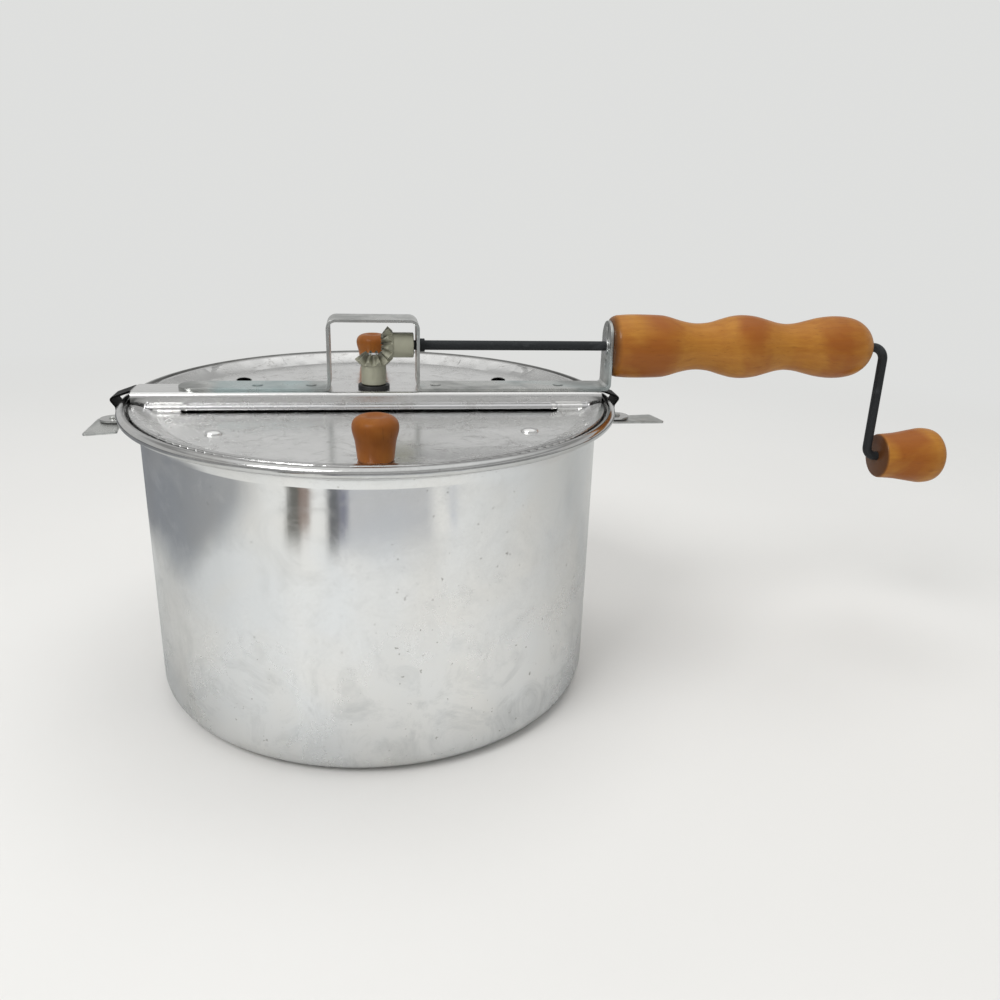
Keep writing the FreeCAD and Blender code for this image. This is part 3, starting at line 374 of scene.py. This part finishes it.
def place_camera():
    yaw, pitch, roll = (math.radians(value) for value in (CAMERA_YAW, CAMERA_PITCH, CAMERA_ROLL))
    ahead = Vector((math.sin(yaw) * math.cos(pitch), math.cos(yaw) * math.cos(pitch), -math.sin(pitch)))
    level = Vector((math.cos(yaw), -math.sin(yaw), 0))
    above = level.cross(ahead)
    right = level * math.cos(roll) + above * math.sin(roll)
    up = above * math.cos(roll) - level * math.sin(roll)
    camera = bpy.data.cameras.new("camera")
    camera.sensor_width = SENSOR_WIDTH
    camera.lens = FOCAL_PIXELS / FRAME_PIXELS * SENSOR_WIDTH
    camera.clip_start = 0.01
    holder = bpy.data.objects.new("camera", camera)
    bpy.context.scene.collection.objects.link(holder)
    turn = Matrix((right, up, -ahead)).transposed()
    holder.matrix_world = Matrix.Translation(Vector(CAMERA_PLACE) * MM) @ turn.to_4x4()
    bpy.context.scene.camera = holder


def stage_sheet(name, size, place, turn=(0, 0, 0)):
    bpy.ops.object.select_all(action="DESELECT")
    bpy.ops.mesh.primitive_plane_add(size=size, location=place, rotation=turn)
    sheet = bpy.context.object
    sheet.name = name
    return sheet


def floor_paper():
    """Pale paper that fades into the backdrop far from the pan, for the camera alone."""
    surface = Surface("floor_paper", Roughness=0.85)
    shade = surface.ramp(surface.noise(3.0, 3.0, 0.5), 0.3, 0.7)
    surface.set(Base_Color=surface.mix(shade, (0.82, 0.81, 0.795), (0.79, 0.78, 0.765)))
    seen = surface.node("ShaderNodeLightPath", {}, {}, "Is Camera Ray")
    far = surface.ramp(surface.radius(), 0.30, 1.0) * seen
    backdrop = surface.node("ShaderNodeEmission", {}, {"Color": BACKDROP})
    blend = surface.node("ShaderNodeMixShader", {}, {
        0: far, 1: Value(surface, surface.shader.outputs[0]), 2: backdrop})
    surface.tree.links.new(blend.socket, surface.tree.nodes["Material Output"].inputs["Surface"])
    return surface.material


def make_stage():
    floor = stage_sheet("floor", 6.0, (0, 0, -0.0002))
    floor.data.materials.append(floor_paper())
    # A card that only reflections see, painted with the room they show.
    card = stage_sheet("table_card", 5.0, (0, 0, 0.0003))
    card.data.materials.append(table_edge())
    for ray in ("camera", "diffuse", "transmission", "volume_scatter", "shadow"):
        setattr(card, "visible_" + ray, False)


def table_edge():
    """What the metal sees of the room, painted on a card that only reflections see: white paper near the pan,
    painted shade towards the sides, a painted contact shadow next to the pan, darker things beyond its edge.
    """
    surface = Surface("table_edge", Roughness=0.9)
    x, y = surface.along("X"), surface.along("Y")
    bearing = x.math("ARCTAN2", 0 - y) * (180 / math.pi) + surface.noise(14.0, 3.0) * 3 - 1.5
    away = surface.radius() + surface.noise(9.0, 4.0) * 0.07 - 0.035

    def thing(bearings, soft, distance, fade):
        low, high = bearings
        sides = surface.ramp(bearing, low - soft, low) * surface.ramp(bearing, high, high + soft, (1.0, 0.0))
        return sides * surface.ramp(away, distance, distance + fade)

    near_edge = surface.ramp(bearing, -85, -52, (0.0, 0.16))
    room = thing((-150, -62), 16, 0.0, 0.01) * surface.ramp(away - near_edge, 0.245, 0.315)
    aside = surface.ramp(bearing.math("ABSOLUTE"), 30, 100)
    # Painted shade: the reflected table darkens towards both sides.
    colour = surface.mix(aside * 0.8, (0.88, 0.88, 0.865), (0.50, 0.505, 0.50))
    # Painted contact shadow next to the pan.
    colour = surface.mix(surface.ramp(away, 0.125, 0.16, (0.5, 0.0)), colour, (0.35, 0.35, 0.345))
    colour = surface.mix(thing((-10, 21), 4, 0.345, 0.06) * 0.75, colour, (0.45, 0.46, 0.49))
    colour = surface.mix(thing((31, 33), 1, 0.40, 0.03) * 0.7, colour, (0.33, 0.38, 0.50))
    colour = surface.mix(thing((-19.0, -15.6), 1.6, 0.35, 0.05) * 0.95, colour, (0.06, 0.065, 0.075))
    colour = surface.mix(thing((-14.4, -12.2), 1.4, 0.37, 0.04) * 0.9, colour, (0.12, 0.13, 0.20))
    colour = surface.mix(thing((-36.4, -31.4), 1.6, 0.355, 0.05) * 0.95, colour, (0.07, 0.07, 0.06))
    colour = surface.mix(thing((-30.8, -27.4), 1.4, 0.385, 0.04) * 0.9, colour, (0.20, 0.13, 0.10))
    colour = surface.mix(room * surface.ramp(bearing, -140, -60, (0.95, 0.72)), colour, (0.19, 0.20, 0.22))
    colour = surface.mix(thing((-180, 180), 1, 0.72, 0.10) * 0.8, colour, (0.14, 0.14, 0.145))
    surface.set(Base_Color=colour)
    return surface.material


def soft_light(name, place, target, size, watts, mirrored=True):
    lamp = bpy.data.lights.new(name, "AREA")
    lamp.shape = "RECTANGLE"
    lamp.size, lamp.size_y = size
    lamp.energy = watts
    holder = bpy.data.objects.new(name, lamp)
    bpy.context.scene.collection.objects.link(holder)
    holder.visible_glossy = mirrored
    holder.location = place
    holder.rotation_mode = "QUATERNION"
    holder.rotation_quaternion = (Vector(place) - Vector(target)).to_track_quat("Z", "Y")


def make_world():
    """An even pale room; polished metal also sees a darker band over the table and a bright ceiling."""
    world = bpy.data.worlds.new("studio")
    world.use_nodes = True
    room = Shading(world.node_tree, "Generated")
    up, back = room.along("Z"), room.along("Y")
    band = room.ramp(up, 0.01, 0.04) * room.ramp(up, 0.18, 0.30, (1.0, 0.0))
    band = band * room.ramp(back, -0.25, 0.1, (1.0, 0.0))
    upper = room.ramp(up, 0.42, 0.54) * room.ramp(up, 0.60, 0.70, (1.0, 0.0))
    ceiling = room.ramp(up, 0.72, 0.86)
    tone = 0.61 - band * 0.36 - upper * 0.28 + ceiling * 0.34
    seen = room.node("ShaderNodeLightPath", {}, {}, "Is Camera Ray")
    glossy = room.node("ShaderNodeLightPath", {}, {}, "Is Glossy Ray")
    reflected = room.node("ShaderNodeCombineColor", {}, {0: tone, 1: tone, 2: tone * 0.99})
    colour = room.mix(glossy, WORLD_TONE, reflected)
    colour = room.mix(seen, colour, BACKDROP)
    background = room.tree.nodes["Background"]
    room.tree.links.new(colour.socket, background.inputs["Color"])
    bpy.context.scene.world = world


def make_lights():
    make_world()
    soft_light("key", (-0.9, -0.9, 1.5), (0.05, 0, 0.1), (0.8, 0.8), 14)
    soft_light("top", (0.3, 0.2, 1.7), (0.05, 0, 0.1), (1.2, 1.0), 8, mirrored=False)
    bpy.context.scene.view_settings.view_transform = "Standard"


def start_ring(name, centre, radius, segments, axis):
    """Starts a piece as a ring of points round an axis, and leaves it open in edit mode."""
    bpy.ops.object.select_all(action="DESELECT")
    turn = (0, math.pi / 2, 0) if axis == "X" else (0, 0, 0)
    bpy.ops.mesh.primitive_circle_add(vertices=segments, radius=radius, location=centre, rotation=turn)
    piece = bpy.context.object
    piece.name = name
    bpy.ops.object.transform_apply(location=True, rotation=True, scale=True)
    bpy.ops.object.mode_set(mode="EDIT")
    bpy.ops.mesh.select_all(action="SELECT")
    return piece


def turned(name, profile, centre=(0, 0, 0), axis="Z", segments=96):
    """A turned piece. The profile is (height, radius) pairs in millimetres, from one end to the other."""
    way = Vector((1, 0, 0)) if axis == "X" else Vector((0, 0, 1))
    middle = Vector(centre) * MM
    height, radius = profile[0]
    piece = start_ring(name, middle + way * height * MM, radius * MM, segments, axis)
    for next_height, next_radius in profile[1:]:
        step = way * (next_height - height) * MM
        bpy.ops.mesh.extrude_edges_move(TRANSFORM_OT_translate={"value": step})
        ratio = next_radius / radius
        factor = (1, ratio, ratio) if axis == "X" else (ratio, ratio, 1)
        bpy.ops.transform.resize(value=factor, center_override=middle + way * next_height * MM)
        height, radius = next_height, next_radius
    bpy.ops.mesh.select_all(action="SELECT")
    bpy.ops.mesh.remove_doubles(threshold=POLE_RADIUS * 2.2 * MM)
    bpy.ops.mesh.normals_make_consistent(inside=False)
    bpy.ops.object.mode_set(mode="OBJECT")
    return piece


def bow(centre, radius, start, end, steps):
    """Points on an arc of the profile; angles in degrees from the radius direction towards the height."""
    points = []
    for step in range(steps + 1):
        angle = math.radians(start + (end - start) * step / steps)
        points.append((centre[0] + radius * math.sin(angle), centre[1] + radius * math.cos(angle)))
    return points


def smooth_through(points, steps):
    """A smooth profile through a few points."""
    padded = [points[0]] + list(points) + [points[-1]]
    made = []
    for index in range(1, len(padded) - 2):
        before, start, end, after = (Vector(point) for point in padded[index - 1:index + 3])
        for step in range(steps):
            share = step / steps
            bent = (2 * start + (end - before) * share
                    + (2 * before - 5 * start + 4 * end - after) * share ** 2
                    + (3 * start - before - 3 * end + after) * share ** 3) * 0.5
            made.append(tuple(bent))
    return made + [tuple(points[-1])]


def smooth_shaded(piece, angle=35):
    bpy.ops.object.select_all(action="DESELECT")
    piece.select_set(True)
    bpy.context.view_layer.objects.active = piece
    bpy.ops.object.shade_smooth_by_angle(angle=math.radians(angle))


def finish_piece(piece, node, material=None, angle=35):
    """Dresses a piece that stands for a CAD node."""
    smooth_shaded(piece, angle)
    piece.data.materials.clear()
    piece.data.materials.append(material or FINISHES[SLOT_OF[node]])
    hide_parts(node)
    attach(piece, BODY_OF[node])


def worked_copy(node):
    """A copy of a formed node with its loose faces joined, to be reworked."""
    source = frame["nodes"][node]
    piece = source.copy()
    piece.data = source.data.copy()
    piece.parent = None
    for key in list(piece.keys()):
        del piece[key]
    bpy.context.scene.collection.objects.link(piece)
    piece.name = node + "_finished"
    bpy.ops.object.select_all(action="DESELECT")
    piece.select_set(True)
    bpy.context.view_layer.objects.active = piece
    bpy.ops.object.mode_set(mode="EDIT")
    bpy.ops.mesh.select_all(action="SELECT")
    bpy.ops.mesh.remove_doubles(threshold=0.000002)
    bpy.ops.mesh.dissolve_limited(angle_limit=math.radians(0.2))
    bpy.ops.object.mode_set(mode="OBJECT")
    return piece


def reshape(piece, chosen, centre, factor=(1, 1, 1), shift=(0, 0, 0)):
    """Scales and moves the chosen points of the active piece; places are in millimetres."""
    bpy.ops.object.mode_set(mode="EDIT")
    bpy.ops.mesh.select_mode(type="VERT")
    bpy.ops.mesh.select_all(action="DESELECT")
    bpy.ops.object.mode_set(mode="OBJECT")
    for vertex in piece.data.vertices:
        vertex.select = chosen(*(vertex.co / MM))
    bpy.ops.object.mode_set(mode="EDIT")
    bpy.ops.transform.resize(value=factor, center_override=Vector(centre) * MM)
    bpy.ops.transform.translate(value=Vector(shift) * MM)
    bpy.ops.object.mode_set(mode="OBJECT")


def even_normals(piece):
    """Keeps large flat faces flat under smooth shading."""
    modifier = piece.modifiers.new("normals", "WEIGHTED_NORMAL")
    modifier.weight = 100
    modifier.keep_sharp = True
    bpy.ops.object.modifier_apply(modifier=modifier.name)


def round_edges(piece, width, segments=2, angle=35):
    modifier = piece.modifiers.new("edges", "BEVEL")
    modifier.width = width * MM
    modifier.segments = segments
    modifier.limit_method = "ANGLE"
    modifier.angle_limit = math.radians(angle)
    modifier.use_clamp_overlap = True
    bpy.ops.object.modifier_apply(modifier=modifier.name)


def finish_formed(piece, node, material=None):
    """Rounds the edges of a formed piece and dresses it."""
    round_edges(piece, EDGE_ROUNDING)
    finish_piece(piece, node, material, FORMED_ANGLE)
    even_normals(piece)


def make_flap(node, side):
    """Front or rear flap: rolled rim proud of the bead, fuller hem, small louvres."""
    piece = worked_copy(node)
    rim_radius, rise_step = 113.6, 0.3
    hem, hem_radius, hem_half = (0, side * 15.7, 142.3), 1.06, 93
    vent_radius = 8.8

    def on_hem(x, y, z):
        return math.hypot(y - hem[1], z - hem[2]) < hem_radius and abs(x) < hem_half

    # The rim rises in steps away from the bar, which it would cut when the flap is open
    for away in (17, 20, 23, 26):
        reshape(piece, lambda x, y, z: math.hypot(x, y) > rim_radius and abs(y) > away,
                (0, 0, 0), shift=(0, 0, rise_step))
    reshape(piece, on_hem, hem, (1, 1.5, 1.5), (0, 0, 0.4))
    for vent_x in (-72, 72):
        vent = (vent_x, side * 55, 145)
        reshape(piece, lambda x, y, z: math.hypot(x - vent[0], y - vent[1]) < vent_radius,
                vent, (0.5, 0.55, 0.6))
    round_edges(piece, 0.18, segments=3, angle=15)
    finish_piece(piece, node, angle=FORMED_ANGLE)
    even_normals(piece)


def make_bar():
    """The lid bar, its long upper bends made fuller than the formed ones."""
    piece = worked_copy("lid_bar")
    half, top, bend, slack, fuller = 11.0, 153.3, 1.4, 0.02, 1.9
    for side in (-1, 1):
        reshape(piece, lambda x, y, z: side * y > half - bend - slack and z > top - bend - slack,
                (0, side * half, top), (1, fuller, fuller))
    finish_formed(piece, "lid_bar")
    hinge_y, hinge_z, thicker = 13.2, 146.2, 1.4
    for node, side in (("front_hinge_rod", -1), ("rear_hinge_rod", 1)):
        rod = worked_copy(node)
        reshape(rod, lambda x, y, z: True, (0, side * hinge_y, hinge_z), (1, thicker, thicker))
        finish_piece(rod, node, angle=FORMED_ANGLE)


def make_bracket():
    """The bracket strap, thinned to the photographed sheet, and its flush fastenings."""
    piece = worked_copy("handle_bracket")
    thinning = 0.2
    bpy.ops.object.mode_set(mode="EDIT")
    bpy.ops.mesh.select_all(action="SELECT")
    bpy.ops.transform.shrink_fatten(value=-thinning * MM)
    bpy.ops.transform.translate(value=(0, 0, -thinning * MM))
    bpy.ops.object.mode_set(mode="OBJECT")
    finish_formed(piece, "handle_bracket")
    rivets = worked_copy("bracket_rivets")
    foot_top = 154.9
    reshape(rivets, lambda x, y, z: z > foot_top, (0, 0, foot_top), (1, 1, 0.35))
    finish_piece(rivets, "bracket_rivets", FINISHES["zinc_steel"], FORMED_ANGLE)
    screws = worked_copy("grip_screws")
    face, slack = 120.6, 0.02
    reshape(screws, lambda x, y, z: x < face - slack, (face, 0, 0), (0.08, 1, 1))
    finish_piece(screws, "grip_screws", FINISHES["zinc_steel"], FORMED_ANGLE)


def make_pan():
    """The pan: foot, wall, flare and rolled rim in one profile, outside first."""
    wall, sheet, corner = 114.0, 1.2, 10.0
    flare_z, flare = 140.4, 4.0
    flare_points = [(137.6, wall), (138.4, 114.1), (140.8, 114.75), (142.9, 115.9), (144.4, wall + flare)]
    bead_r, bead_z, tube = 121.0, 147.0, 2.5
    shoulder = flare_z + flare + sheet
    profile = [(0, POLE_RADIUS), (0, 30), (0, 60), (0, 90), (0, wall - corner - 1)]
    profile += bow((corner, wall - corner), corner, -90, 0, 12)
    profile += [(z, wall) for z in (12, 30, 60, 90, 120, 136)]
    profile += smooth_through(flare_points, 4)
    profile += bow((bead_z, bead_r), tube, -88, 200, 28)
    profile += [(shoulder, bead_r - 2.2), (shoulder, wall + flare)]
    profile += bow((flare_z, wall + flare), -(flare + sheet), -90, 0, 8)
    profile += [(z, wall - sheet) for z in (120, 90, 60, 30, 12)]
    profile += bow((corner, wall - corner), corner - sheet, 0, -90, 10)
    profile += [(sheet, 90), (sheet, 60), (sheet, 30), (sheet, POLE_RADIUS)]
    pan = turned("pan_spun", profile, segments=192)
    finish_piece(pan, "pan", angle=TURNED_ANGLE)


def make_woodwork():
    """Main grip, crank knob and the two lid knobs."""
    start, end, bore = 122.4, 267.8, 2.9
    grip = [(start, bore), (start, 12.9), (start + 0.4, 13.9), (start + 1.1, 14.9), (start + 2.1, 15.5)]
    grip += smooth_through([
        (start + 3.4, 15.9), (134, 16.4), (148, 16.2), (153.5, 15.4), (159.5, 13.7), (165, 12.5),
        (170.5, 12.1), (177, 12.8), (183.5, 14.7), (189.5, 16.2), (195.5, 16.6), (202, 15.9),
        (208.5, 14.2), (214, 12.8), (219.5, 12.2), (225.5, 12.8), (231.5, 14.2), (238, 15.7),
        (245.5, 16.5), (252.5, 16.2), (258.5, 14.7), (263.2, 11.7), (266.3, 7.9), (end - 0.4, 4.8)], 4)
    grip += [(end, bore), (240, bore), (180, bore), (start, bore)]
    main_grip = turned("main_grip_turned", grip, (0, 0, ROD_AXIS_Z), "X", 72)
    finish_piece(main_grip, "main_grip", angle=TURNED_ANGLE)
    left, right, pin_bore, bore_end = 284.0, 322.8, 2.51, 313.5
    knob = [(bore_end, POLE_RADIUS), (bore_end, pin_bore), (left, pin_bore), (left, 11.5), (left + 0.3, 12.1)]
    knob += smooth_through([(left + 0.9, 12.4), (left + 10, 13.1), (left + 19.5, 14.7), (left + 26.5, 15.6),
                            (left + 33, 14.2), (right - 1.8, 9.6), (right - 0.2, 4.2), (right, 1.5)], 6)
    knob += [(right, POLE_RADIUS)]
    crank_knob = turned("crank_knob_turned", knob, (0, 0, ROD_AXIS_Z - CRANK_DROP), "X", 72)
    finish_piece(crank_knob, "crank_knob", angle=TURNED_ANGLE)
    screw_bore, bore_top, crown, knob_y, base = 1.75, 11, 18.2, 97.0, 145.0
    lid_knob = [(bore_top, POLE_RADIUS), (bore_top, screw_bore), (0, screw_bore), (0, 7.0), (0.25, 7.5)]
    lid_knob += smooth_through([
        (0.8, 7.7), (4.5, 8.1), (8.5, 8.6), (12, 9.5), (14.6, 9.8), (16.8, 9.2), (18.3, 7.6),
        (18.95, 5.8), (18.9, 4.2), (18.4, 2.6), (crown, 1.0)], 5)
    lid_knob += [(crown, POLE_RADIUS)]
    for node, side in (("front_knob", -1), ("rear_knob", 1)):
        piece = turned(node + "_turned", lid_knob, (0, side * knob_y, base), "Z", 64)
        finish_piece(piece, node, UPRIGHT_WOOD, TURNED_ANGLE)


def make_crank_rod():
    """The bent rod: a ring drawn along, turned through its bends and on to the knob's pin."""
    radius, rod_start, arm_x, low_z = 2.45, 4.6, 277.3, ROD_AXIS_Z - CRANK_DROP
    bend, pin_bend, pin_end = 7.0, 5.5, 313.0
    rod = start_ring("crank_rod_bent", Vector((rod_start, 0, ROD_AXIS_Z)) * MM, radius * MM, 32, "X")
    bpy.ops.mesh.edge_face_add()

    def draw(step):
        bpy.ops.mesh.extrude_region_move(TRANSFORM_OT_translate={"value": Vector(step) * MM})

    def turn(angle, centre):
        bpy.ops.mesh.spin(steps=14, angle=math.radians(angle), center=Vector(centre) * MM, axis=(0, 1, 0))

    draw((arm_x - bend - rod_start, 0, 0))
    turn(-90, (arm_x - bend, 0, ROD_AXIS_Z - bend))
    draw((0, 0, low_z + pin_bend - ROD_AXIS_Z + bend))
    turn(90, (arm_x + pin_bend, 0, low_z + pin_bend))
    draw((pin_end - arm_x - pin_bend, 0, 0))
    bpy.ops.mesh.select_all(action="SELECT")
    bpy.ops.mesh.remove_doubles(threshold=0.00001)
    bpy.ops.mesh.normals_make_consistent(inside=False)
    bpy.ops.object.mode_set(mode="OBJECT")
    finish_piece(rod, "crank_rod", angle=FORMED_ANGLE)


def dress_remaining():
    """Every CAD node that still shows gets its slot's finish; the gear pins are darkened like the gears."""
    for node, part in frame["nodes"].items():
        part.data.materials.clear()
        part.data.materials.append(FINISHES["cream_nylon" if node.endswith("gear_pin") else SLOT_OF[node]])


place_camera()
make_stage()
make_lights()
dress_remaining()
make_pan()
make_woodwork()
make_crank_rod()
make_flap("front_flap", -1)
make_flap("rear_flap", 1)
make_bar()
make_bracket()
for node in ("left_clip", "right_clip", "drive_gear", "driven_gear", "rod_collar", "shaft_bushing"):
    finish_formed(worked_copy(node), node)
finish_formed(worked_copy("clip_rivets"), "clip_rivets", FINISHES["zinc_steel"])
